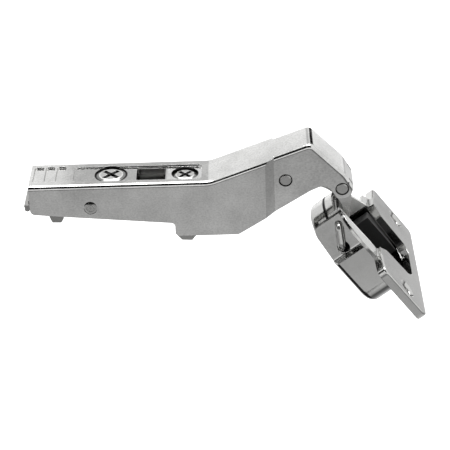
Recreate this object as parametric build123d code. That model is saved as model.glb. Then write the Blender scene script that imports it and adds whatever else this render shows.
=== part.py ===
from build123d import *
from math import cos, radians, sin, sqrt
import os

# Concealed cup hinge: folded arm on a clip carrier, two links and a 35 mm cup.
os.makedirs("parts", exist_ok=True)

# Driving dimensions in mm. Profile points are measured from the front link pin.
sheet = 1.2
running = 0.05
side_play = 0.15
link_play = 0.65
lever_play = 0.2
insert_play = 0.2
arm_half = 7.65
nose_half = 6.6
roof_z = 4.1
rear_x = -93.3
bend_r = 1.3
seat_x = 64.0
seat_z = 1.2

rear_pin_x = -16.8
rear_pin_z = 3.46
link_pin_r = 1.75
pin_ring_r = 2.05
pin_ring_deep = 0.6
boss_r = 3.3

arm_pin_x = -75.2
arm_pin_z = -3.6
arm_pin_r = 1.9
arm_pin_sunk = 0.2
depth_travel = 2.5

depth_x = -69.0
depth_head_r = 4.5
depth_stem_r = 2.5
depth_throw = 1.77
depth_peg_r = 1.5
side_x = -46.8
side_head_r = 3.65
side_stem_r = 1.75
head_t = 0.75
head_gap = 0.35
groove_deep = 0.55

lever_x = -81.5
lever_z = -3.8
lever_pin_r = 1.2
lever_sheet = 1.1
thumb_inset = 1.65
relief_x = -72.0
relief_deep = 0.2
coil_r = 1.75
shut_r = 2.3
spring_wire_r = 0.35
shut_gap = 1.0

tilt = 53.0
cup_u = 21.2
cup_n = -1.07
cup_r = 17.5
cup_deep = 14.3
cup_wall = 1.0
flange_t = 2.7
ear_edge = 4.5
ear_round = 2.1
hole_pitch = 42.0
hole_back = 11.0
hole_r = 2.25
sink_r = 3.0
wire_r = 1.15
cup_c = (-13.2, -6.53)
cup_d = (-7.6, -9.73)
flat_slope = 0.4135
flat_front = (-15.75, 7.6)
flat_rear_x = -5.3
side_flat = 14.3

eye_r = 2.0

carrier_half = arm_half - sheet - side_play
lever_half = carrier_half - sheet - lever_play
thumb_half = arm_half - thumb_inset
cheek_half = nose_half - sheet - side_play
inner_half = cheek_half - sheet - link_play
flange_half = hole_pitch / 2 + ear_edge

place = Pos(seat_x, 0, seat_z)
cup_place = place * Pos(cup_u * cos(radians(tilt)) + cup_n * sin(radians(tilt)), 0,
                        cup_n * cos(radians(tilt)) - cup_u * sin(radians(tilt))) * Rot(0, tilt, 0)


def outline(*points):
    """Closed face through (x, y) points; a third value rounds that corner."""
    stops = []
    for i, point in enumerate(points):
        here = Vector(point[0], point[1])
        if len(point) < 3:
            stops.append((here, None, here))
            continue
        before = points[i - 1]
        after = points[(i + 1) % len(points)]
        back = (Vector(before[0], before[1]) - here).normalized()
        ahead = (Vector(after[0], after[1]) - here).normalized()
        half_cos = sqrt((1 + back.dot(ahead)) / 2)
        half_sin = sqrt(1 - half_cos ** 2)
        reach = point[2] * half_cos / half_sin
        middle = here + (back + ahead).normalized() * (point[2] / half_sin - point[2])
        stops.append((here + back * reach, middle, here + ahead * reach))
    edges = []
    for i, stop in enumerate(stops):
        if stop[1] is not None:
            edges.append(ThreePointArc(stop[0], stop[1], stop[2]))
        target = stops[(i + 1) % len(stops)][0]
        if (target - stop[2]).length > 1e-6:
            edges.append(Line(stop[2], target))
    return make_face(edges)


def slab(face, y0, y1):
    """A side profile (x, z) made solid from y0 to y1."""
    return extrude(Plane.XZ.offset(-y0) * face, amount=y0 - y1)


def across(x, z, r, y0, y1):
    """A round bar or bore along Y."""
    return slab(Pos(x, z) * Circle(r), y0, y1)


def upright(x, y, r, z0, z1):
    """A round post along Z."""
    return Pos(x, y, z0) * Cylinder(r, z1 - z0, align=(Align.CENTER, Align.CENTER, Align.MIN))


def block(x0, x1, y0, y1, z0, z1):
    return Pos((x0 + x1) / 2, (y0 + y1) / 2, (z0 + z1) / 2) * Box(x1 - x0, y1 - y0, z1 - z0)


def panel_z(x):
    """Height of the sloped bed that carries the screws under the arm's roof."""
    return roof_z - 0.5 - (x + 80.2) * 0.039


def floor_z(x):
    """Height of the shallow panel floor in the arm's roof."""
    return roof_z - 0.35 - (x + 80.2) * 0.0105


def save(shape, node, where=place):
    export_step(where * shape, f"parts/{node}.step")


# Arm: side profile and plan profile meet in one folded sheet.
side_profile = outline((rear_x, roof_z), (-39.3, roof_z, 9), (-9.2, 15.2, 2.2), (0.6, 5.2, 9),
                       (3.45, 0.2), (3.3, 0), (boss_r * cos(radians(-35)), boss_r * sin(radians(-35))),
                       (boss_r * cos(radians(-65)), boss_r * sin(radians(-65))),
                       (boss_r * cos(radians(-95)), boss_r * sin(radians(-95))),
                       (boss_r * cos(radians(-120)), boss_r * sin(radians(-120))), (-4.5, 2.0, 3.4),
                       (-9.6, -0.35, 2.5), (-31.2, -13.85, 1.6), (-49.3, -13.85), (-50.2, -12.95),
                       (-50.2, -9.4, 1.3), (-87.6, -5.75, 8), (rear_x, -5.1, 1.5))
rise = (15.2 - roof_z) / (39.3 - 9.2)
rear_blank = slab(outline((rear_x, roof_z), (-39.3, roof_z, 9), (-20.2, roof_z + 19.1 * rise), (-20.2, -20),
                          (rear_x, -20)), -arm_half, arm_half)
bends = [e for e in rear_blank.edges() if abs(e.center().Y) > arm_half - 0.01
         and e.center().Z > roof_z - 0.01]
rear_blank = fillet(bends, bend_r)
for s in (-1, 1):
    joggle = outline((-22.8, s * arm_half), (-20.1, s * nose_half), (-15, s * nose_half), (-15, s * 9))
    rear_blank -= extrude(Pos(0, 0, -30) * joggle, amount=60)
nose_blank = slab(outline((-27, roof_z + 12.3 * rise), (-9.2, 15.2, 2.2), (0.6, 5.2, 9), (10, -11),
                          (-27, -11)), -nose_half, nose_half)
bends = [e for e in nose_blank.edges() if abs(e.center().Y) > nose_half - 0.01 and e.center().X > -26.9
         and e.center().Z > -10.9]
nose_blank = fillet(bends, bend_r)
shell = (rear_blank + nose_blank) & slab(side_profile, -20, 20)
side_room = outline((-110, roof_z - sheet), (-39.6, roof_z - sheet, 8), (-9.55, 13.9, 1.2), (-0.4, 4.5, 7),
                    (2.45, -0.45), (2.45, -30), (-110, -30))
wall_in = arm_half - sheet
nose_in = nose_half - sheet
plan_room = outline((-120, -wall_in), (-23.2, -wall_in, 2), (-20.6, -nose_in, 2), (10, -nose_in),
                    (10, nose_in), (-20.6, nose_in, 2), (-23.2, wall_in, 2), (-120, wall_in))
room = slab(side_room, -20, 20) & extrude(Pos(0, 0, -40) * plan_room, amount=70)
sunk = block(-80.2, -41.8, -4.9, 4.4, 0, 9)
sunk = fillet(sunk.edges().filter_by(Axis.Z), 1.2)
sunk &= slab(outline((-90, floor_z(-90)), (-30, floor_z(-30)), (-30, 20), (-90, 20)), -10, 10)
under = slab(outline((-81.4, roof_z - 0.4), (-80.2, panel_z(-80.2) - sheet), (-41.0, panel_z(-41.0) - sheet),
                     (-39.8, roof_z - 0.4)), -6.0, 6.0)
arm = shell - room + (under & shell) - sunk
for x0, x1 in ((-92.3, -89.4), (-88.9, -86.1), (-85.5, -82.7)):
    groove = block(x0, x1, -4.4, 5.2, roof_z - groove_deep, roof_z + 1)
    arm -= fillet(groove.edges().filter_by(Axis.Z), 0.9)
depth_seat = panel_z(depth_x) - 0.15
side_seat = panel_z(side_x) + 0.05
arm -= upright(depth_x, 0, depth_head_r + head_gap, depth_seat, 9)
arm -= upright(side_x, 0, side_head_r + head_gap, side_seat, 9)
arm -= upright(depth_x, 0, depth_stem_r + running, -1, 9)
arm -= upright(side_x, 0, side_stem_r + running, -1, 9)
window = block(-61.3, -52.6, -3.75, 3.6, -1, 9)
arm -= fillet(window.edges().filter_by(Axis.Z), 0.6)
for x, z in ((rear_pin_x, rear_pin_z), (0, 0)):
    arm -= across(x, z, link_pin_r, -10, 10)
    for s in (-1, 1):
        arm -= across(x, z, pin_ring_r, s * nose_half - pin_ring_deep, s * nose_half + pin_ring_deep)
arm -= across(arm_pin_x, arm_pin_z, arm_pin_r + running, -10, 10)
for s in (-1, 1):
    arm -= across(arm_pin_x, arm_pin_z + 0.4, arm_pin_r, s * arm_half - 0.6, s * arm_half + 0.6)
    arm -= across(0, 0, 3.3, min(s * 3.9, s * nose_in), max(s * 3.9, s * nose_in))
save(arm, "hinge_arm")

# Pins riveted in the nose, flush with the walls.
for x, z, node in ((rear_pin_x, rear_pin_z, "rear_link_pin"), (0, 0, "front_link_pin")):
    pin = across(x, z, link_pin_r, -nose_half - 0.1, nose_half + 0.1)
    pin = chamfer(pin.edges(), 0.2)
    save(pin, node)

arm_pin = across(arm_pin_x, arm_pin_z, arm_pin_r, arm_pin_sunk - arm_half, arm_half - arm_pin_sunk)
for s in (-1, 1):
    end = s * (arm_half - arm_pin_sunk)
    ring = across(arm_pin_x, arm_pin_z, 1.25, end - 0.25, end + 0.25)
    ring -= across(arm_pin_x, arm_pin_z, 0.85, -9, 9)
    arm_pin -= ring + across(arm_pin_x, arm_pin_z, 0.3, end - 0.25, end + 0.25)
save(arm_pin, "arm_pin")


def cross_recess(x, z, reach, wide):
    """Cross set at 45 degrees in a screw head, with a deeper middle."""
    bars = Box(2 * reach, wide, 1.0) + Box(wide, 2 * reach, 1.0)
    return Pos(x, 0, z) * Rot(0, 0, 45) * bars + upright(x, 0, wide * 0.8, z - 1.5, z + 1)


def screw_head(x, r, low):
    """Flat disc with a sloped rim."""
    rim = 0.35
    slope = Cone(r, 0.72 * r, head_t - rim)
    return upright(x, 0, r, low, low + rim) + Pos(x, 0, low + (rim + head_t) / 2) * slope


# Depth screw: head, stem through the panel, and an eccentric peg on a disc.
depth_top = depth_seat + running + head_t
head = screw_head(depth_x, depth_head_r, depth_seat + running)
washer_top = panel_z(depth_x) - sheet - 0.15
washer_low = washer_top - 0.6
disc_low = washer_low - 0.5
peg_a = radians(45)
peg_x = depth_x + depth_throw * sin(peg_a)
peg_y = -depth_throw * cos(peg_a)
depth_screw = head + upright(depth_x, 0, depth_stem_r, disc_low, depth_seat + 0.5)
depth_screw += upright(depth_x, 0, 3.4, disc_low, washer_low)
depth_screw += upright(peg_x, peg_y, depth_peg_r, -1.0, disc_low + 0.2)
depth_screw -= cross_recess(depth_x, depth_top, 3.05, 1.4)
save(depth_screw, "depth_screw")
washer = upright(depth_x, 0, 4.2, washer_low, washer_top) - upright(depth_x, 0, depth_stem_r, -5, 9)
save(washer, "depth_washer")

side_top = side_seat + running + head_t
side_screw = screw_head(side_x, side_head_r, side_seat + running)
side_screw += upright(side_x, 0, side_stem_r, -0.5, side_seat + 0.5)
side_screw -= cross_recess(side_x, side_top, 2.5, 1.2)
save(side_screw, "side_screw")

# Carrier: inner channel with two front hooks. The plate sits under the front of its web,
# and the web is relieved behind that, over the lever and its spring.
carrier_side = outline((-84.5, 0, 0.8), (-43.2, 0, 0.8), (-43.2, -13.4), (-45.3, -16.15, 0.4),
                       (-48.4, -15.95, 0.4), (-50.2, -13.8), (-49.9, -12.4), (-49.9, -8.7, 1.2),
                       (-84.5, -5.3, 1.0))
carrier = slab(carrier_side, -carrier_half, carrier_half)
carrier -= block(-100, -30, sheet - carrier_half, carrier_half - sheet, -30, -seat_z)
carrier -= block(-100, relief_x, sheet - carrier_half, carrier_half - sheet, -30, relief_deep - seat_z)
slot_x = (arm_pin_x - arm_pin_r - 0.1, arm_pin_x + arm_pin_r + depth_travel + 0.1)
pin_slot = block(slot_x[0], slot_x[1], -10, 10, arm_pin_z - arm_pin_r - running,
                 arm_pin_z + arm_pin_r + running)
carrier -= fillet(pin_slot.edges().filter_by(Axis.Y), 1.85)
carrier -= across(lever_x, lever_z, lever_pin_r, -10, 10)
carrier -= block(peg_x - depth_peg_r - 0.2, peg_x + depth_peg_r + 0.2, -3.6, 1.0, -5, 5)
side_slot = block(side_x - side_stem_r - 0.4, side_x + side_stem_r + 0.4 + depth_travel, -2.05, 2.05, -5, 5)
carrier -= side_slot
carrier -= block(-60.5, -53.5, -3, 3, -5, 5)
save(carrier, "clip_carrier")

# Release lever: two walls on a pin, latch feet, and a finger plate with a rolled edge behind the arm.
lever_pin = across(lever_x, lever_z, lever_pin_r, -carrier_half, carrier_half)
save(lever_pin, "lever_pin")
lever_side = outline((-79.3, -1.7, 1.5), (-79.3, -5.6, 1.5), (-83.2, -5.4), (-83.8, -8.3, 0.4),
                     (-84.6, -9.6, 0.4), (-87.3, -9.5, 0.4), (-88.0, -7.7, 0.4), (-88.4, -4.9, 0.6),
                     (-94.0, -4.6), (-94.0, -1.8), (-86, -1.7, 1.5))
lever = slab(lever_side, -lever_half, lever_half)
lever -= block(-93.6, -70, lever_sheet - lever_half, lever_half - lever_sheet, -20, 5)
lever += block(-93.8, -91.0, -lever_half, lever_half, -4.6, -3.6)
thumb = outline((-92.4, -2.6, 0.2), (-95.2, -2.7, 0.3), (-95.2, -3.4, 0.3), (-93.8, -4.2), (-92.4, -4.2))
lever += slab(thumb, -thumb_half, thumb_half)
lever += across(-94.3, -4.05, 0.8, -thumb_half, thumb_half)
lever -= across(lever_x, lever_z, lever_pin_r + running, -10, 10)
save(lever, "release_lever")


def wound(r, pitch, turns):
    """Spring wire wound about Y, from y = 0 up. Its section is drawn as a hexagon."""
    path = Helix(pitch=pitch, height=pitch * turns, radius=r)
    start = Plane(origin=path @ 0, z_dir=path % 0)
    return Rot(-90, 0, 0) * sweep(start * RegularPolygon(spring_wire_r, 6), path=path, is_frenet=True)


def leg(x, y, z, ahead):
    """Straight end of spring wire along X, ahead long."""
    return Pos(x, y, z) * Rot(0, 90, 0) * Pos(0, 0, ahead / 2) * Cylinder(spring_wire_r, abs(ahead))


# Lever spring: coil on the lever pin with one leg under the web and one on the lever.
coil_turns = 4
coil_pitch = 0.85
coil_leg = 4.2
coil_y = coil_pitch * coil_turns / 2
lever_spring = Pos(lever_x, -coil_y, lever_z) * wound(coil_r, coil_pitch, coil_turns)
lever_spring += leg(lever_x, -coil_y, lever_z + coil_r, coil_leg)
lever_spring += leg(lever_x, coil_y, lever_z - coil_r, -coil_leg)
save(lever_spring, "lever_spring")

# Closing spring: a turn on the rear link pin at each side of the inner link, tied ahead.
shut_pitch = 0.8
shut_leg = 6.9
shut_z = rear_pin_z + shut_r
shut_y = [s * (nose_half - sheet - shut_gap) - shut_pitch / 2 for s in (-1, 1)]
spring = across(rear_pin_x + shut_leg, shut_z, spring_wire_r, shut_y[0], shut_y[1])
for y in shut_y:
    spring += Pos(rear_pin_x, y, rear_pin_z) * wound(shut_r, shut_pitch, 1)
    spring += leg(rear_pin_x, y, shut_z, shut_leg)
save(spring, "closing_spring")

# Outer link: two cheeks and a web on the side away from the arm.
c_x = (cup_u + cup_c[0]) * cos(radians(tilt)) + (cup_n + cup_c[1]) * sin(radians(tilt))
c_z = (cup_n + cup_c[1]) * cos(radians(tilt)) - (cup_u + cup_c[0]) * sin(radians(tilt))
d_x = (cup_u + cup_d[0]) * cos(radians(tilt)) + (cup_n + cup_d[1]) * sin(radians(tilt))
d_z = (cup_n + cup_d[1]) * cos(radians(tilt)) - (cup_u + cup_d[0]) * sin(radians(tilt))
cheek = outline((3.0, 0), (2.25, -9.9), (d_x + eye_r, d_z), (d_x - eye_r, d_z), (0.15, -12.6, 1.5),
                (0.3, -8.6, 3), (0.1, -6.2, 2), (-2.6, -1.5))
cheek += Circle(3.0) + Pos(d_x, d_z) * Circle(eye_r)
web = outline((2.85, -3.6), (2.25, -9.9), (d_x + eye_r + 0.03, -15.4), (d_x + eye_r - 1.07, -15.4),
              (1.15, -9.9), (1.7, -3.6))
outer = slab(web, -cheek_half, cheek_half)
for s in (-1, 1):
    ends = sorted((s * cheek_half, s * (cheek_half - sheet)))
    outer += slab(cheek, ends[0], ends[1])
outer -= across(0, 0, link_pin_r + running, -10, 10)
outer -= across(d_x, d_z, wire_r + running, -10, 10)
save(outer, "outer_link")

# Inner link: bent strip from the rear pin, under the front pin, into the cup.
strip = ((-13.5, 2.3, 1.4), (-9.5, 1.3, 1.1), (-6.6, 0.45, 1.0), (-4.4, -0.45, 0.95), (-2.3, -1.95, 0.9),
         (-0.65, -3.4, 0.9), (0.25, -5.3, 0.9), (0.1, -7.5, 0.9), (c_x, c_z, 1.1))
upper = []
lower = []
for i, (x, z, h) in enumerate(strip):
    x0, z0, _ = strip[max(i - 1, 0)]
    x1, z1, _ = strip[min(i + 1, len(strip) - 1)]
    along = Vector(x1 - x0, z1 - z0).normalized()
    upper.append((x - along.Y * h, z + along.X * h))
    lower.append((x + along.Y * h, z - along.X * h))
inner = make_face([Spline(*upper), Line(upper[-1], lower[-1]), Spline(*lower), Line(lower[0], upper[0])])
slot_at = Pos(-15.53, 2.58) * Rot(0, 0, 160)
slot_w = 2 * link_pin_r + 1.05
slot_l = 3.05
inner += Pos(c_x, c_z) * Circle(eye_r)
inner += slot_at * SlotCenterToCenter(slot_l, slot_w + 2.8)
inner -= slot_at * SlotCenterToCenter(slot_l, slot_w)
inner = slab(inner, -inner_half, inner_half) - across(c_x, c_z, wire_r + running, -10, 10)
save(inner, "inner_link")


# Cup, in its own frame: X to the back edge, Z out of the opening, origin on the flange.
def flat_y(x, inset=0.0):
    return flat_front[1] + flat_slope * (x - flat_front[0]) - inset


flat_len = sqrt(1 + flat_slope ** 2)
plan = Circle(cup_r) & Rectangle(40, 2 * side_flat)
plan = fillet(plan.vertices(), 7)
cup = extrude(Pos(0, 0, -cup_deep) * plan, amount=cup_deep)
cup = fillet(cup.edges().group_by(Axis.Z)[0], 1.8)
low_room = slab(outline((-30, -30), (-2.8, -30), (-2.8, -2.6), (-30, -6.35)), -40, 40)
lip = upright(0, 0, cup_r, -6.5, 0) & block(-20, -3, -20, 20, -7, 0)
cup += upright(0, 0, cup_r, -flange_t, 0) + (lip - low_room)
ear = outline((-1.6, -17.3), (-0.7, -flange_half, ear_round), (20.3, -flange_half, ear_round),
              (20.3, flange_half, ear_round), (-0.7, flange_half, ear_round), (-1.6, 17.3))
flange = extrude(Pos(0, 0, -flange_t) * ear, amount=flange_t)
cup += fillet(flange.edges().group_by(Axis.Z)[-1], 0.5)
cup -= slab(outline((-30, -5.32), (-1.6, -1.4, 0.8), (-1.6, 5), (-30, 5)), -40, 40)
for s in (-1, 1):
    pocket = outline((-24, s * flat_y(-24)), (flat_rear_x, s * flat_y(flat_rear_x), 1.2),
                     (flat_rear_x + 0.9, s * 18.5), (-24, s * 18.5))
    pocket = extrude(Pos(0, 0, -20) * pocket, amount=25)
    cup -= pocket if s > 0 else pocket & low_room
hollow = Circle(cup_r - cup_wall) & Rectangle(40, 2 * (side_flat - cup_wall))
for s in (-1, 1):
    hollow -= outline((-24, s * flat_y(-24, cup_wall * flat_len)),
                      (-2.2, s * flat_y(-2.2, cup_wall * flat_len), 1.5), (0.5, s * 20), (-24, s * 20))
cup -= extrude(Pos(0, 0, -cup_deep + cup_wall) * hollow, amount=cup_deep - cup_wall - flange_t)
mouth = outline((-1.0, -13.2), (2.0, -10.6, 3), (13.5, -9.6, 2.5), (15.9, -7.0, 2.5), (15.9, 7.0, 2.5),
                (13.5, 9.6, 2.5), (2.0, 10.6, 3), (-1.0, 13.2))
mouth += hollow & (Pos(-15, 0) * Rectangle(28.2, 60))
cup -= extrude(Pos(0, 0, -flange_t - 0.01) * (mouth & Circle(cup_r - cup_wall + 0.5)), amount=9)
cup -= block(-20, -11, -5.7, 5.7, -5.4, 5)
step = upright(0, 0, cup_r + 1, -8.6, -8.1) - upright(0, 0, cup_r - 0.35, -9, -8)
cup -= step & block(-20, -10, -7, 7, -9, -8)
for s in (-1, 1):
    cup -= upright(hole_back, s * hole_pitch / 2, hole_r, -9, 9)
    cup -= Pos(hole_back, s * hole_pitch / 2, -(sink_r - hole_r) / 2) * Cone(hole_r, sink_r, sink_r - hole_r)
cup -= across(cup_c[0], cup_c[1], wire_r, -20, 20)
cup -= across(cup_d[0], cup_d[1], wire_r, -20, 20)
cup -= across(cup_d[0] + 0.5, cup_d[1] + 0.4, 1.9, -20, -8)
save(cup, "cup", cup_place)

insert = outline((-1.5, -12.2, 1), (5, -12.2), (14.2, -7.6, 2), (14.2, 7.6, 2), (5, 12.2), (-1.5, 12.2, 1))
insert_low = -cup_deep + cup_wall
insert = extrude(Pos(0, 0, insert_low) * insert, amount=-flange_t - insert_play - insert_low)
insert -= block(-20, 20, -7.8, 7.8, -9.6, 5) + block(-20, 3.5, -7.8, 7.8, -20, 5)
save(insert, "cup_insert", cup_place)

# Axle wire: two legs through the cup, joined by the bar in the near pocket.
bar_out = wire_r + 0.25
c_y = flat_y(cup_c[0]) + bar_out
d_y = flat_y(cup_d[0]) + bar_out
far_c = flat_y(cup_c[0]) + 0.6
far_d = flat_y(cup_d[0]) + 0.6
wire = FilletPolyline((cup_c[0], far_c, cup_c[1]), (cup_c[0], -c_y, cup_c[1]), (cup_d[0], -d_y, cup_d[1]),
                      (cup_d[0], far_d, cup_d[1]), radius=1.3)
axle = sweep(Plane(origin=wire @ 0, z_dir=wire % 0) * Circle(wire_r), path=wire)
save(axle, "cup_axle", cup_place)
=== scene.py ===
import math

import bpy
import numpy as np
from mathutils import Matrix, Vector


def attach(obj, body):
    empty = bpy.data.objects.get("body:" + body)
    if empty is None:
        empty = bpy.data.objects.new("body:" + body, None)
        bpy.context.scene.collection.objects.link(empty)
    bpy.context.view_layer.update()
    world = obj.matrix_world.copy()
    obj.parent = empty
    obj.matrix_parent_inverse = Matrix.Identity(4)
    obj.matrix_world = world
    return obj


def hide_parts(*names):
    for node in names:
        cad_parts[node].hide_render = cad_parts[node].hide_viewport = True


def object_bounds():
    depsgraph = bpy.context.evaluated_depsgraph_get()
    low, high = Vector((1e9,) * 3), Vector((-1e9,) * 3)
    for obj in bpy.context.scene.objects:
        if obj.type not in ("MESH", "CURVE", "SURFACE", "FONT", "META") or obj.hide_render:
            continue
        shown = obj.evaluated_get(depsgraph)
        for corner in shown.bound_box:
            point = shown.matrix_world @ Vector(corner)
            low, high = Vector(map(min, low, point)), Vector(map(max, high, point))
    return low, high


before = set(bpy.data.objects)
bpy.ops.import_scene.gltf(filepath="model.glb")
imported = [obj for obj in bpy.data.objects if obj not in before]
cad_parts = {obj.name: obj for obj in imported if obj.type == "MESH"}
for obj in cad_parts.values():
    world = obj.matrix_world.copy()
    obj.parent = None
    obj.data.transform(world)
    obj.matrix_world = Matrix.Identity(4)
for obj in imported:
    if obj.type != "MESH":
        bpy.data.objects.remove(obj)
cad_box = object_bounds()
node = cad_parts

# Clip carrier: the inner channel that sits on the mounting plate, with two hooks at the front.
# It is stamped from strip steel, folded along both sides and zinc-plated, which leaves it darker
# than the arm, with a slow cloud in the tone.


def joined(tree, out, into):
    """Runs a wire from an output socket to an input socket."""
    tree.links.new(out, into)


def sum_of(tree, *terms):
    """Adds sockets and plain numbers."""
    level = terms[0]
    for term in terms[1:]:
        plus = tree.nodes.new("ShaderNodeMath")
        joined(tree, level, plus.inputs[0])
        if isinstance(term, float):
            plus.inputs[1].default_value = term
        else:
            joined(tree, term, plus.inputs[1])
        level = plus.outputs[0]
    return level


def plate_group():
    """Plated steel. Color is tone times 1 plus a slow cloud plus a fine speck, roughness is gloss plus
    a third of the cloud plus a share of the speck, and height is the grain, drawn out along the rolling."""
    group = bpy.data.node_groups.new("plated_steel", "ShaderNodeTree")
    face = group.interface
    face.new_socket("Tone", in_out="INPUT", socket_type="NodeSocketColor")
    for name in ("Gloss", "Cloud", "Speck", "Dull"):
        face.new_socket(name, in_out="INPUT", socket_type="NodeSocketFloat")
    face.new_socket("Color", in_out="OUTPUT", socket_type="NodeSocketColor")
    face.new_socket("Roughness", in_out="OUTPUT", socket_type="NodeSocketFloat")
    face.new_socket("Height", in_out="OUTPUT", socket_type="NodeSocketFloat")
    given = group.nodes.new("NodeGroupInput")
    result = group.nodes.new("NodeGroupOutput")
    where = group.nodes.new("ShaderNodeTexCoord")
    cloud = group.nodes.new("ShaderNodeTexNoise")
    cloud.inputs["Scale"].default_value = 90.0
    cloud.inputs["Detail"].default_value = 6.0
    cloud.inputs["Roughness"].default_value = 0.62
    joined(group, where.outputs["Object"], cloud.inputs["Vector"])
    rolled = group.nodes.new("ShaderNodeMapping")
    rolled.inputs["Scale"].default_value = (0.7, 1.0, 1.0)
    joined(group, where.outputs["Object"], rolled.inputs["Vector"])
    grain = group.nodes.new("ShaderNodeTexNoise")
    grain.inputs["Scale"].default_value = 2500.0
    grain.inputs["Detail"].default_value = 2.0
    joined(group, rolled.outputs["Vector"], grain.inputs["Vector"])

    def centred(out, amount):
        """(noise - 0.5) times an amount."""
        low = group.nodes.new("ShaderNodeMath")
        low.operation = "SUBTRACT"
        low.inputs[1].default_value = 0.5
        joined(group, out, low.inputs[0])
        share = group.nodes.new("ShaderNodeMath")
        share.operation = "MULTIPLY"
        joined(group, low.outputs[0], share.inputs[0])
        joined(group, amount, share.inputs[1])
        return share.outputs[0]

    drift = centred(cloud.outputs["Fac"], given.outputs["Cloud"])
    speck = centred(grain.outputs["Fac"], given.outputs["Speck"])
    tinted = group.nodes.new("ShaderNodeVectorMath")
    tinted.operation = "SCALE"
    joined(group, given.outputs["Tone"], tinted.inputs[0])
    joined(group, sum_of(group, drift, speck, 1.0), tinted.inputs["Scale"])
    joined(group, tinted.outputs["Vector"], result.inputs["Color"])
    dull = centred(grain.outputs["Fac"], given.outputs["Dull"])
    third = group.nodes.new("ShaderNodeMath")
    third.operation = "MULTIPLY"
    third.inputs[1].default_value = 0.33
    joined(group, drift, third.inputs[0])
    joined(group, sum_of(group, given.outputs["Gloss"], third.outputs[0], dull), result.inputs["Roughness"])
    joined(group, grain.outputs["Fac"], result.inputs["Height"])
    return group


plated_steel = plate_group()


def finish(name, tone, gloss, cloud, speck, dull, relief, edge, metal=1.0):
    """A material with the plated steel effect. Relief is the depth of the grain and edge the rounding of
    the corners, both in metres."""
    material = bpy.data.materials.new(name)
    material.use_nodes = True
    tree = material.node_tree
    shader = tree.nodes["Principled BSDF"]
    shader.inputs["Metallic"].default_value = metal
    coat = tree.nodes.new("ShaderNodeGroup")
    coat.node_tree = plated_steel
    coat.inputs["Tone"].default_value = (*tone, 1.0)
    coat.inputs["Gloss"].default_value = gloss
    coat.inputs["Cloud"].default_value = cloud
    coat.inputs["Speck"].default_value = speck
    coat.inputs["Dull"].default_value = dull
    joined(tree, coat.outputs["Color"], shader.inputs["Base Color"])
    joined(tree, coat.outputs["Roughness"], shader.inputs["Roughness"])
    rounding = tree.nodes.new("ShaderNodeBevel")
    rounding.samples = 6
    rounding.inputs["Radius"].default_value = edge
    bump = tree.nodes.new("ShaderNodeBump")
    bump.inputs["Strength"].default_value = 0.5
    bump.inputs["Distance"].default_value = relief
    joined(tree, coat.outputs["Height"], bump.inputs["Height"])
    joined(tree, rounding.outputs["Normal"], bump.inputs["Normal"])
    joined(tree, bump.outputs["Normal"], shader.inputs["Normal"])
    return material


def dress(material, *names):
    """Gives CAD nodes a material."""
    for name in names:
        for place in node[name].material_slots:
            place.material = material


zinc_strip = finish("zinc_plated_strip", (0.46, 0.46, 0.45), gloss=0.34, cloud=0.3, speck=0.12, dull=0.1,
                    relief=0.000006, edge=0.00012)
dress(zinc_strip, "clip_carrier")

# Lever spring: oiled spring wire wound four turns round the lever pin.
# One leg lies under the carrier's web and one on the release lever.


def wire(name, path, radius, material, sides=14):
    """A round wire: a circle carried along a path, point i at path[i] + radius (cos a n[i] + sin a b[i]),
    where n and b are square to the path's direction and n turns as little as it can from point to point.
    Each end is closed by a flat cap."""
    along = np.gradient(path, axis=0)
    along /= np.linalg.norm(along, axis=1, keepdims=True)
    lean = np.array([0.31, 0.42, 0.85])
    normal = np.empty_like(path)
    for i, ahead in enumerate(along):
        lean = lean - ahead * (lean @ ahead)
        lean = lean / np.linalg.norm(lean)
        normal[i] = lean
    binormal = np.cross(along, normal)
    angle = np.linspace(0.0, 2.0 * np.pi, sides, endpoint=False)
    ring = radius * (np.cos(angle)[None, :, None] * normal[:, None, :]
                     + np.sin(angle)[None, :, None] * binormal[:, None, :])
    points = (path[:, None, :] + ring).reshape(-1, 3)
    steps = len(path)
    row, col = np.meshgrid(np.arange(steps - 1), np.arange(sides), indexing="ij")
    after = (col + 1) % sides
    quads = np.stack([row * sides + col, row * sides + after, (row + 1) * sides + after, (row + 1) * sides + col],
                     axis=-1).reshape(-1, 4)
    caps = [np.arange(sides)[::-1].tolist(), (np.arange(sides) + (steps - 1) * sides).tolist()]
    mesh = bpy.data.meshes.new(name)
    mesh.from_pydata(points.tolist(), [], quads.tolist() + caps)
    mesh.polygons.foreach_set("use_smooth", [True] * len(quads) + [False, False])
    mesh.materials.append(material)
    piece = bpy.data.objects.new(name, mesh)
    bpy.context.scene.collection.objects.link(piece)
    return piece


def coil(middle, radius, y_from, y_to, turn_from, turn_to, per_turn=40):
    """A helix about Y: (x, z) is middle plus radius (cos a, sin a), with a in turns, and y goes evenly."""
    share = np.linspace(0.0, 1.0, int(per_turn * abs(turn_to - turn_from)) + 2)
    a = 2.0 * np.pi * (turn_from + (turn_to - turn_from) * share)
    return np.stack([middle[0] + radius * np.cos(a), y_from + (y_to - y_from) * share,
                     middle[1] + radius * np.sin(a)], axis=1)


def corner(start, bend, end, steps=9):
    """A quarter bend: the quadratic curve from start to end that leaves towards bend."""
    t = np.linspace(0.0, 1.0, steps)[:, None]
    return (1 - t) ** 2 * np.array(start) + 2 * t * (1 - t) * np.array(bend) + t ** 2 * np.array(end)


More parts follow.
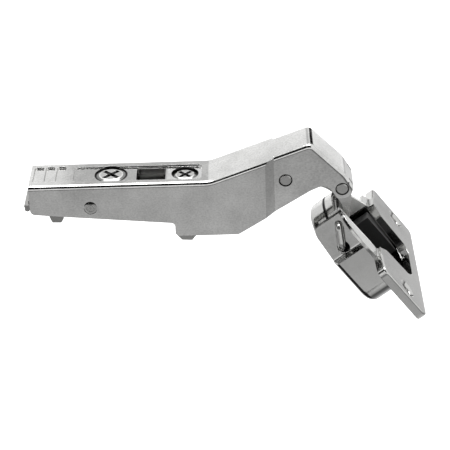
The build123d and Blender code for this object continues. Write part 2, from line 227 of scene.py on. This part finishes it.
spring_wire = finish("oiled_spring_wire", (0.26, 0.26, 0.26), gloss=0.28, cloud=0.2, speck=0.08, dull=0.06,
                     relief=0.000003, edge=0.0001)
wire_r = 0.00035
lever_at = np.array([-0.0175, -0.0026])
coil_r = 0.00175
coil_half = 0.0017
leg_reach = 0.0042
low_z = lever_at[1] - coil_r
top_z = lever_at[1] + coil_r
left_x = lever_at[0] - coil_r
bend_r = 0.0007
lever_spring = wire("lever_spring_wire", np.concatenate([
    [[lever_at[0] + leg_reach, -coil_half, top_z], [lever_at[0] + leg_reach / 2, -coil_half, top_z]],
    coil(lever_at, coil_r, -coil_half, coil_half, 0.25, 4.5),
    corner((left_x, coil_half, low_z + bend_r), (left_x, coil_half, low_z), (left_x - bend_r, coil_half, low_z)),
    [[lever_at[0] - leg_reach, coil_half, low_z]]]), wire_r, spring_wire)
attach(lever_spring, "carrier")
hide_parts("lever_spring")

# Release lever: a bent strip that turns on a pin in the carrier, with two feet that latch under the
# mounting plate. It is pressed at the finger plate behind the arm, whose edge is rolled.
lever_strip = finish("lever_strip", (0.38, 0.38, 0.37), gloss=0.3, cloud=0.3, speck=0.12, dull=0.1,
                     relief=0.000006, edge=0.00014)
dress(lever_strip, "release_lever")

# Arm: one sheet of steel folded into a channel, kinked up to the nose and joggled in towards it.
# It is satin nickel-plated. Shade is painted into its tone down in the seats, the window, the rings round the
# pins and the arm pin's hole, and a painted highlight lightens the front of the sunk panel.


def largest(tree, levels):
    """The largest of some values at each point."""
    most = levels[0]
    for level in levels[1:]:
        larger = tree.nodes.new("ShaderNodeMath")
        larger.operation = "MAXIMUM"
        joined(tree, most, larger.inputs[0])
        joined(tree, level, larger.inputs[1])
        most = larger.outputs[0]
    return most


def recess_group():
    """A mask with a given depth inside a box, and inside a round of a given radius about the box's own Z,
    that fades to 0 over a given distance outside: depth (1 - max(|p - middle| - half, |p xy| - round) / fade)."""
    group = bpy.data.node_groups.new("recess", "ShaderNodeTree")
    face = group.interface
    for name in ("Place", "Middle", "Half"):
        face.new_socket(name, in_out="INPUT", socket_type="NodeSocketVector")
    for name in ("Round", "Fade", "Depth"):
        face.new_socket(name, in_out="INPUT", socket_type="NodeSocketFloat")
    face.new_socket("Mask", in_out="OUTPUT", socket_type="NodeSocketFloat")
    given = group.nodes.new("NodeGroupInput")
    result = group.nodes.new("NodeGroupOutput")
    away = group.nodes.new("ShaderNodeVectorMath")
    away.operation = "SUBTRACT"
    joined(group, given.outputs["Place"], away.inputs[0])
    joined(group, given.outputs["Middle"], away.inputs[1])
    size = group.nodes.new("ShaderNodeVectorMath")
    size.operation = "ABSOLUTE"
    joined(group, away.outputs[0], size.inputs[0])
    over = group.nodes.new("ShaderNodeVectorMath")
    over.operation = "SUBTRACT"
    joined(group, size.outputs[0], over.inputs[0])
    joined(group, given.outputs["Half"], over.inputs[1])
    parts = group.nodes.new("ShaderNodeSeparateXYZ")
    joined(group, over.outputs[0], parts.inputs[0])
    level = group.nodes.new("ShaderNodeVectorMath")
    level.operation = "MULTIPLY"
    level.inputs[1].default_value = (1.0, 1.0, 0.0)
    joined(group, away.outputs[0], level.inputs[0])
    radius = group.nodes.new("ShaderNodeVectorMath")
    radius.operation = "LENGTH"
    joined(group, level.outputs[0], radius.inputs[0])
    outside = group.nodes.new("ShaderNodeMath")
    outside.operation = "SUBTRACT"
    joined(group, radius.outputs["Value"], outside.inputs[0])
    joined(group, given.outputs["Round"], outside.inputs[1])
    most = largest(group, [outside.outputs[0]] + [parts.outputs[axis] for axis in "XYZ"])
    fade = group.nodes.new("ShaderNodeMapRange")
    fade.inputs["From Min"].default_value = 0.0
    joined(group, most, fade.inputs["Value"])
    joined(group, given.outputs["Fade"], fade.inputs["From Max"])
    joined(group, given.outputs["Depth"], fade.inputs["To Min"])
    fade.inputs["To Max"].default_value = 0.0
    joined(group, fade.outputs[0], result.inputs["Mask"])
    return group


recess = recess_group()
no_round = 90.0


def place_in(tree, turned):
    """The place on the piece, in its own frame or in one given as a Mapping node's location and rotation."""
    where = tree.nodes.new("ShaderNodeTexCoord")
    if turned is None:
        return where.outputs["Object"]
    frame_turn = tree.nodes.new("ShaderNodeMapping")
    frame_turn.vector_type = "TEXTURE"
    frame_turn.inputs["Location"].default_value = turned[0]
    frame_turn.inputs["Rotation"].default_value = turned[1]
    joined(tree, where.outputs["Object"], frame_turn.inputs["Vector"])
    return frame_turn.outputs["Vector"]


def recess_mask(tree, place, middle, half, rounded, fade, depth):
    """The recess effect for one box, given in mm. With no_round the round is wider than any piece."""
    box = tree.nodes.new("ShaderNodeGroup")
    box.node_tree = recess
    joined(tree, place, box.inputs["Place"])
    box.inputs["Middle"].default_value = [v / 1000.0 for v in middle]
    box.inputs["Half"].default_value = [v / 1000.0 for v in half]
    box.inputs["Round"].default_value = rounded / 1000.0
    box.inputs["Fade"].default_value = fade / 1000.0
    box.inputs["Depth"].default_value = depth
    return box.outputs["Mask"]


def between(tree, mask, low, high):
    """A value that goes from low where a mask is 0 to high where it is 1."""
    span = tree.nodes.new("ShaderNodeMapRange")
    span.inputs["To Min"].default_value = low
    span.inputs["To Max"].default_value = high
    joined(tree, mask, span.inputs["Value"])
    return span.outputs[0]


def scale_tone(tree, amount):
    """Multiplies what a material's base color has by now."""
    base = tree.nodes["Principled BSDF"].inputs["Base Color"]
    scaled = tree.nodes.new("ShaderNodeVectorMath")
    scaled.operation = "SCALE"
    joined(tree, base.links[0].from_socket, scaled.inputs[0])
    joined(tree, amount, scaled.inputs["Scale"])
    joined(tree, scaled.outputs["Vector"], base)


def paint_shade_in_boxes(material, boxes, turned=None):
    """Paints shade into a finish's tone inside boxes given in mm as (middle, half, round, fade, depth). Depth is
    the share of the tone that is lost there. Turned is a Mapping node's location and rotation for a tilted frame."""
    tree = material.node_tree
    place = place_in(tree, turned)
    mask = largest(tree, [recess_mask(tree, place, *box) for box in boxes])
    scale_tone(tree, between(tree, mask, 1.0, 0.0))


def matt_and_painted_light_patch(material, turned, half, fade, matt, pale):
    """Adds matt to a finish's roughness and multiplies its tone by pale, which paints light there, inside a box
    of half sizes in mm about the origin of a frame."""
    tree = material.node_tree
    rough = tree.nodes["Principled BSDF"].inputs["Roughness"]
    mask = recess_mask(tree, place_in(tree, turned), (0.0, 0.0, 0.0), half, no_round, fade, 1.0)
    joined(tree, sum_of(tree, rough.links[0].from_socket, between(tree, mask, 0.0, matt)), rough)
    scale_tone(tree, between(tree, mask, 1.0, pale))


satin_nickel = finish("satin_nickel", (0.68, 0.68, 0.67), gloss=0.1, cloud=0.75, speck=0.6, dull=0.12,
                      relief=0.000006, edge=0.0001)
arm_pin_x = -11.2
depth_x = -5.0
side_x = 17.2
# Painted shade: the tone is darkened in the window, the screw seats, the rings round the pins and the arm pin's
# hole.
window = ((7.05, -0.08, 2.5), (4.45, 3.75, 2.0), no_round, 0.15, 0.66)
depth_seat = ((depth_x, 0.0, 3.0), (4.9, 4.9, 1.95), 4.95, 0.1, 0.9)
side_seat = ((side_x, 0.0, 2.5), (4.05, 4.05, 2.45), 4.05, 0.1, 0.9)
front_pin_ring = ((64.0, 0.0, 1.2), (2.1, 6.4, 2.1), no_round, 0.05, 0.92)
rear_pin_ring = ((47.2, 0.0, 4.66), (2.1, 6.4, 2.1), no_round, 0.05, 0.92)
arm_pin_hole = ((arm_pin_x, 0.0, -2.2), (2.05, 7.2, 2.4), no_round, 0.05, 0.95)
paint_shade_in_boxes(satin_nickel, [window, depth_seat, side_seat, front_pin_ring, rear_pin_ring, arm_pin_hole])
# Painted highlight: the tone is raised across the front of the sunk panel.
panel_front = ((0.018, 0.0, 0.0047), (0.0, 0.0, 0.0))
matt_and_painted_light_patch(satin_nickel, panel_front, (6.0, 4.6, 0.3), fade=0.3, matt=0.0, pale=1.4)
dress(satin_nickel, "hinge_arm")

# Pins: drawn steel rod. Two are riveted flush in the nose walls, one carries the arm on the carrier and
# one the lever, and a bent one is the cup's axle. The one in the carrier has painted shade along its top.
drawn_steel = finish("drawn_steel", (0.5, 0.5, 0.49), gloss=0.26, cloud=0.2, speck=0.12, dull=0.08,
                     relief=0.000005, edge=0.00015)
dress(drawn_steel, "rear_link_pin", "front_link_pin", "lever_pin", "cup_axle")
pin_steel_painted_shade = finish("pin_steel_painted_shade", (0.56, 0.56, 0.55), gloss=0.24, cloud=0.2, speck=0.12, dull=0.08,
                     relief=0.000005, edge=0.00015)
# Painted shade: the tone is darkened along the top of this pin's end.
painted_shade_on_top = ((arm_pin_x, 0.0, 0.0), (3.0, 9.0, 1.05), no_round, 0.12, 0.96)
paint_shade_in_boxes(pin_steel_painted_shade, [painted_shade_on_top])
dress(pin_steel_painted_shade, "arm_pin")

# Screws: turned steel with a pressed cross and a bright nickel plate, set in round seats in the arm.
# Shade is painted into the tone down in the cross and round the rim of the head, outside its top face. The depth
# screw is held below by a plain washer.
bright_screw = finish("bright_screw", (0.74, 0.74, 0.73), gloss=0.16, cloud=0.12, speck=0.08, dull=0.06,
                      relief=0.000004, edge=0.0002)
# Painted shade: the tone is darkened down in each cross.
depth_cross = ((depth_x, 0.0, 2.6), (5.0, 5.0, 2.0), no_round, 0.12, 0.92)
side_cross = ((side_x, 0.0, 1.93), (5.0, 5.0, 2.0), no_round, 0.12, 0.92)
paint_shade_in_boxes(bright_screw, [depth_cross, side_cross])
screw_tree = bright_screw.node_tree
screw_place = place_in(screw_tree, None)
whole_head = (9.0, 9.0, 9.0)
depth_face_r = 3.6
side_face_r = 2.85
# Painted shade: the tone of each head's rim, outside its top face, is scaled down to this share.
painted_rim_shade = 0.3
faces = largest(screw_tree, [
    recess_mask(screw_tree, screw_place, (middle_x, 0.0, 0.0), whole_head, face_r, fade=0.1, depth=1.0)
    for middle_x, face_r in ((depth_x, depth_face_r), (side_x, side_face_r))])
scale_tone(screw_tree, between(screw_tree, faces, painted_rim_shade, 1.0))
dress(bright_screw, "depth_screw", "side_screw")
dress(zinc_strip, "depth_washer")

# Closing spring: one length of the same wire, a turn on the rear pin at each side of the inner link,
# tied ahead by a bar.
rear_at = np.array([0.0472, 0.00466])
shut_r = 0.0023
shut_z = rear_at[1] + shut_r
near_y = -0.0048
far_y = 0.004
pitch = 0.0008
bar_x = rear_at[0] + 0.0069
turn_x = bar_x - bend_r
closing_spring = wire("closing_spring_wire", np.concatenate([
    coil(rear_at, shut_r, near_y + pitch, near_y, 1.25, 0.25),
    corner((turn_x, near_y, shut_z), (bar_x, near_y, shut_z), (bar_x, near_y + bend_r, shut_z)),
    corner((bar_x, far_y - bend_r, shut_z), (bar_x, far_y, shut_z), (turn_x, far_y, shut_z)),
    coil(rear_at, shut_r, far_y, far_y + pitch, 0.25, 1.25)]), wire_r, spring_wire)
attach(closing_spring, "arm")
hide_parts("closing_spring")

# Links: two pressed strips between the nose and the cup. The outer one has two cheeks and a web and is
# plated as the arm is, the inner one is a thick plain zinc strip.
link_nickel = finish("link_nickel", (0.56, 0.56, 0.55), gloss=0.24, cloud=0.3, speck=0.12, dull=0.1,
                     relief=0.000006, edge=0.00014)
dress(link_nickel, "outer_link")
dress(zinc_strip, "inner_link")

# Cup: deep-drawn, with flat sides, a pocket for the axle and a flange for two screws.
# It is bright nickel-plated, with shade painted into its tone inside. The two walls of the mouth are matt inside,
# with painted light raising their tone, and painted shade lies in the shallow groove across the end that faces
# the arm.
bright_nickel = finish("bright_nickel", (0.57, 0.57, 0.56), gloss=0.13, cloud=0.5, speck=0.2, dull=0.06,
                       relief=0.000005, edge=0.00025)
front_pin = (0.064, 0.0012)
cup_tilt = math.radians(53.0)
cup_ahead = 0.0212
cup_under = 0.00107
cup_at = (front_pin[0] + cup_ahead * math.cos(cup_tilt) - cup_under * math.sin(cup_tilt), 0.0,
          front_pin[1] - cup_under * math.cos(cup_tilt) - cup_ahead * math.sin(cup_tilt))
wall_turn = math.atan(0.4135)


def in_cup(x, y, z, turn):
    """A Mapping node's location and rotation for a place in the cup's own frame, in mm, turned about its Z."""
    tilt = Matrix.Rotation(cup_tilt, 3, "Y")
    spot = Vector(cup_at) + tilt @ Vector((x, y, z)) / 1000.0
    return spot, (tilt @ Matrix.Rotation(turn, 3, "Z")).to_euler()


# Painted shade: the tone is darkened inside the cup and along the shallow groove across its arm end.
cup_inside = ((8.0, 0.0, -8.2), (8.5, 13.55, 5.2), no_round, 0.6, 0.9)
painted_shade_groove = ((-15.0, 0.0, -8.35), (5.0, 7.1, 0.4), no_round, 0.12, 0.95)
paint_shade_in_boxes(bright_nickel, [cup_inside, painted_shade_groove], in_cup(0.0, 0.0, 0.0, 0.0))
# Painted light: the tone of each mouth wall is raised, and its roughness too.
for side in (1.0, -1.0):
    mouth_wall = in_cup(-10.0, side * 8.9, -6.0, side * wall_turn)
    matt_and_painted_light_patch(bright_nickel, mouth_wall, (7.0, 0.3, 5.4), fade=0.2, matt=0.55, pale=1.7)
dress(bright_nickel, "cup")

# Insert: a moulding of matt black plastic that lines the bottom and sides of the cup.
# It is pressed in from above, and it is the one piece that isn't metal.
matt_black = finish("matt_black_plastic", (0.04, 0.04, 0.04), gloss=0.55, cloud=0.4, speck=0.2, dull=0.12,
                    relief=0.00001, edge=0.0003, metal=0.0)
dress(matt_black, "cup_insert")

# Studio: a pale floor, a soft box overhead, a white surround and cards set round the metal.
# Only reflections show the cards. They give the folds their dark lines and the flat faces their greys.
floor_z = float(cad_box[0][2]) - 0.16
floor_half = 4.0
card_z = floor_z + 0.002


def sheet(name, corners, tone, glow=0.0):
    """A flat four-cornered sheet of dull paper, which may be lit from behind, and not part of the object."""
    mesh = bpy.data.meshes.new(name)
    mesh.from_pydata(corners, [], [(0, 1, 2, 3)])
    paper = bpy.data.materials.new(name + "_paper")
    paper.use_nodes = True
    skin = paper.node_tree.nodes["Principled BSDF"].inputs
    skin["Base Color"].default_value = (tone, tone, tone, 1.0)
    skin["Roughness"].default_value = 0.9
    skin["Specular IOR Level"].default_value = 0.0
    skin["Emission Color"].default_value = (1.0, 1.0, 1.0, 1.0)
    skin["Emission Strength"].default_value = glow
    mesh.materials.append(paper)
    board = bpy.data.objects.new(name, mesh)
    bpy.context.scene.collection.objects.link(board)
    return board


def across(first, last, span):
    """The corners of a sheet with two edges along X. First and last are the edges' (y, z), and span is the x
    of their ends."""
    return [(span[0], *first), (span[1], *first), (span[1], *last), (span[0], *last)]


floor = sheet("floor", across((-floor_half, floor_z), (floor_half, floor_z), (-floor_half, floor_half)), tone=0.9)
floor_tree = floor.data.materials[0].node_tree
floor_ray = floor_tree.nodes.new("ShaderNodeLightPath")
floor_white = between(floor_tree, floor_ray.outputs["Is Camera Ray"], 0.0, 0.5)
joined(floor_tree, floor_white, floor_tree.nodes["Principled BSDF"].inputs["Emission Strength"])
cards = [
    sheet("dark_card", across((-0.477, 0.218), (-0.08, 0.62), (-0.3, 0.3)), tone=0.02),
    sheet("left_card", [(-0.7, -0.6, 0.2), (-0.7, -0.04, 0.2), (-0.7, -0.04, 0.8), (-0.7, -0.6, 0.8)], tone=0.02),
    sheet("under_card", across((-0.2, card_z), (0.02, card_z), (-0.2, 0.12)), tone=0.02),
    sheet("right_card", across((-0.4, card_z), (-0.05, card_z), (0.17, 0.5)), tone=0.64),
    sheet("far_card", across((1.0, 0.14), (1.0, 0.48), (0.26, 0.58)), tone=0.02),
    sheet("grey_card", across((1.0, 0.42), (1.0, 0.72), (-0.14, 0.14)), tone=0.2, glow=0.6),
    sheet("backdrop", across((0.85, floor_z), (0.95, 0.08), (-1.2, 1.2)), tone=0.9, glow=0.5),
    sheet("front_card", across((-0.6, -0.05), (-0.6, 0.1), (-0.33, -0.13)), tone=0.2, glow=0.4)]
for card in cards:
    card.visible_camera = False
    card.visible_diffuse = False
    card.visible_transmission = False
    card.visible_shadow = False

world = bpy.data.worlds.new("white_surround")
bpy.context.scene.world = world
world.use_nodes = True
sky = world.node_tree
surround = sky.nodes["Background"]
surround.inputs["Color"].default_value = (1.0, 1.0, 1.0, 1.0)
ray = sky.nodes.new("ShaderNodeLightPath")
shown = sky.nodes.new("ShaderNodeClamp")
joined(sky, sum_of(sky, ray.outputs["Is Camera Ray"], ray.outputs["Is Glossy Ray"],
                   ray.outputs["Is Transmission Ray"]), shown.inputs["Value"])
joined(sky, between(sky, shown.outputs[0], 0.1, 1.0), surround.inputs["Strength"])


def soft_box(name, place, aim, size, watts, mirrored):
    """A square lamp at place that faces aim. A lamp that isn't mirrored stays out of reflections."""
    lamp = bpy.data.lights.new(name, "AREA")
    lamp.size = size
    lamp.energy = watts
    lamp_object = bpy.data.objects.new(name, lamp)
    lamp_object.visible_glossy = mirrored
    place = np.array(place)
    back = place - np.array(aim)
    back = back / np.linalg.norm(back)
    side = np.cross([0.0, 1.0, 0.0], back)
    side = side / np.linalg.norm(side)
    over = np.cross(back, side)
    turn = np.eye(4)
    turn[:3, 0], turn[:3, 1], turn[:3, 2], turn[:3, 3] = side, over, back, place
    lamp_object.matrix_world = Matrix(turn.tolist())
    bpy.context.scene.collection.objects.link(lamp_object)


soft_box("soft_box_overhead", place=(0.02, 0.14, 0.5), aim=(0.03, 0.06, 0.0), size=0.4, watts=3.0,
         mirrored=True)
soft_box("floor_light_behind", place=(0.03, 0.45, 0.45), aim=(0.03, 0.45, floor_z), size=0.5, watts=4.0,
         mirrored=False)

# Camera: a long lens, seen a little from above with the arm rising slightly to the right.
# The front link pin's near end is at a known pixel and depth, which places it.
pixels = 450
lens_pixels = 1700.0
look_down = math.radians(29.5)
roll = math.radians(1.9)
pin_place = np.array([front_pin[0], -0.0066, front_pin[1]])
pin_pixel = (342.3, 189.1)
pin_depth = 0.5054
right = np.array([math.cos(roll), 0.0, -math.sin(roll)])
up = np.array([math.cos(look_down) * math.sin(roll), math.sin(look_down), math.cos(look_down) * math.cos(roll)])
back = np.cross(right, up)
offset = ((pin_pixel[0] - pixels / 2) * right + (pixels / 2 - pin_pixel[1]) * up) / lens_pixels
camera = bpy.data.objects.new("camera", bpy.data.cameras.new("camera"))
camera.data.sensor_width = 36.0
camera.data.lens = lens_pixels / pixels * camera.data.sensor_width
stand = np.eye(4)
stand[:3, 0], stand[:3, 1], stand[:3, 2] = right, up, back
stand[:3, 3] = pin_place - offset * pin_depth + back * pin_depth
camera.matrix_world = Matrix(stand.tolist())
bpy.context.scene.collection.objects.link(camera)
bpy.context.scene.camera = camera
bpy.context.scene.view_settings.view_transform = "Standard"
